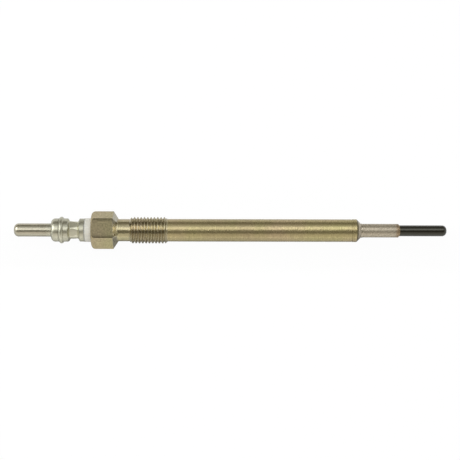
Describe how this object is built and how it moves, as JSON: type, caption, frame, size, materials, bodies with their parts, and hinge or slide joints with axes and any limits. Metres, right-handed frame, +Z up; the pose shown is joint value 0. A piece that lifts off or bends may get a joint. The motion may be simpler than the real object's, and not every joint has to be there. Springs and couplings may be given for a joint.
{
  "type": "glow plug",
  "caption": "Diesel glow plug: round snap terminal, white insulating bush, hexagon head, threaded plated shank, conical sealing seat and a black ceramic heater rod in a metal sleeve.",
  "frame": {"origin": "on the plug's axis, at the rim (large end) of the conical sealing seat", "axes": "+X along the axis towards the heater tip, -X towards the terminal, +Z up with a hexagon flat facing down, as the plug lies on a table"},
  "size_m": [0.1305, 0.0116, 0.01],
  "materials": {
    "nickel_plated_steel": "turned and nickel plated, satin",
    "white_plastic": "moulded, satin",
    "seal_rubber": "moulded rubber",
    "passivated_steel": "turned, zinc plated and yellow passivated",
    "bare_steel": "drawn rod",
    "nickel_wire": "bare nickel",
    "stainless_steel": "ground, matt, heat tinted at its mouth",
    "braze_metal": "as flowed",
    "black_ceramic": "ground, satin",
    "conductive_ceramic": "sintered"
  },
  "bodies": {
    "root": {"terminal_pin": "nickel_plated_steel", "insulating_bush": "white_plastic", "o_ring_seal": "seal_rubber", "housing": "passivated_steel", "centre_electrode": "bare_steel", "lead_coil": "nickel_wire", "contact_cap": "nickel_wire", "heater_sleeve": "stainless_steel", "braze_fillet": "braze_metal", "ceramic_rod": "black_ceramic", "heating_element": "conductive_ceramic", "lead_ground": "conductive_ceramic", "lead_live": "conductive_ceramic"}
  },
  "joints": []
}
